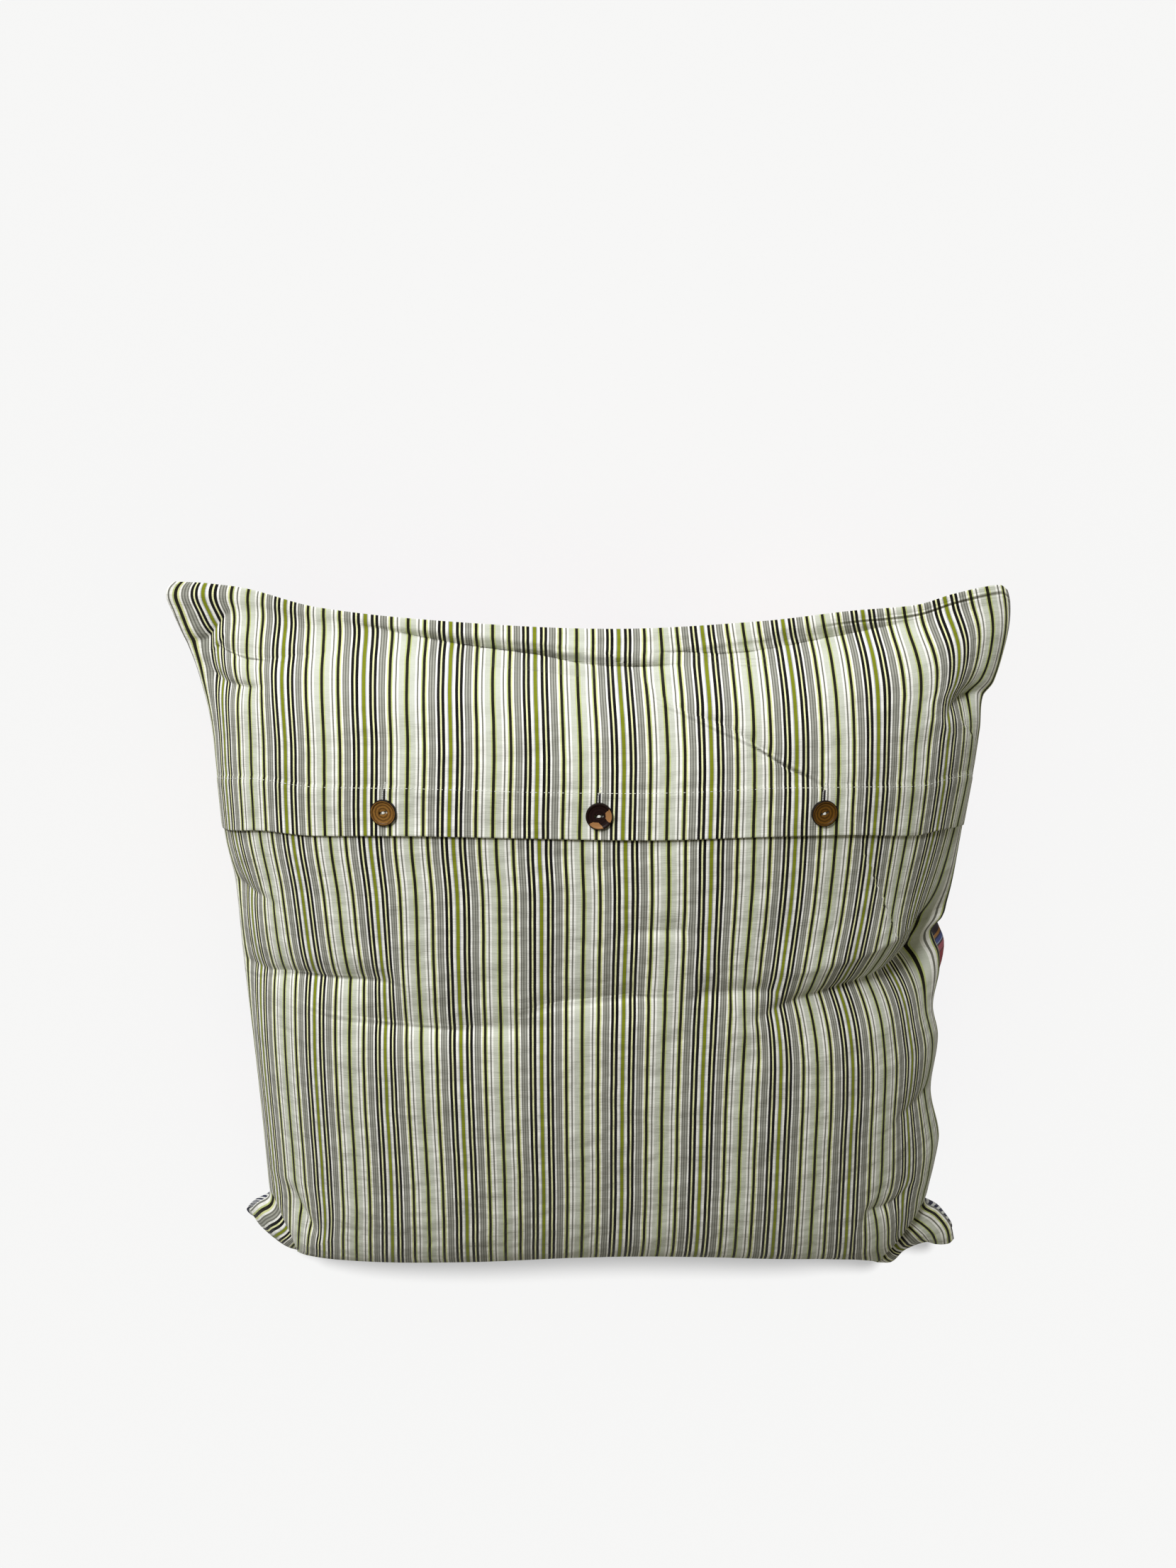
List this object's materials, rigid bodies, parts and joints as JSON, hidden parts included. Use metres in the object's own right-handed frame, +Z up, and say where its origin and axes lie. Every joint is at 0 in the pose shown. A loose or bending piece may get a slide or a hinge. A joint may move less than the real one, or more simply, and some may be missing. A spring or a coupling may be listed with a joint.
{
  "type": "patchwork cushion",
  "caption": "Square filled cushion lying on its patchwork front, with a striped back whose button flap overlaps the lower panel, drawn-in sides and soft ears.",
  "frame": {"origin": "middle of the underside, on the surface that the cushion lies on", "axes": "+X to the right along the hem, +Y from the bottom seam to the top seam, +Z up out of the striped back"},
  "size_m": [0.6572, 0.6326, 0.1831],
  "materials": {
    "patchwork_cotton": "woven cotton pieces in ochre, navy, blue, maroon, rose and white, sewn together",
    "striped_cotton": "white woven cotton with grey, black, pale yellow and olive stripes",
    "shell_brown": "turned coconut shell, mid brown, satin",
    "shell_dark": "turned coconut shell, nearly black with pale natural patches, satin",
    "shell_golden": "turned coconut shell, dark golden brown, satin",
    "white_thread": "matt cotton sewing thread"
  },
  "bodies": {
    "root": {"cushion_body": "patchwork_cotton", "button_flap": "striped_cotton", "button_left": "shell_brown", "button_middle": "shell_dark", "button_right": "shell_golden"}
  },
  "joints": []
}
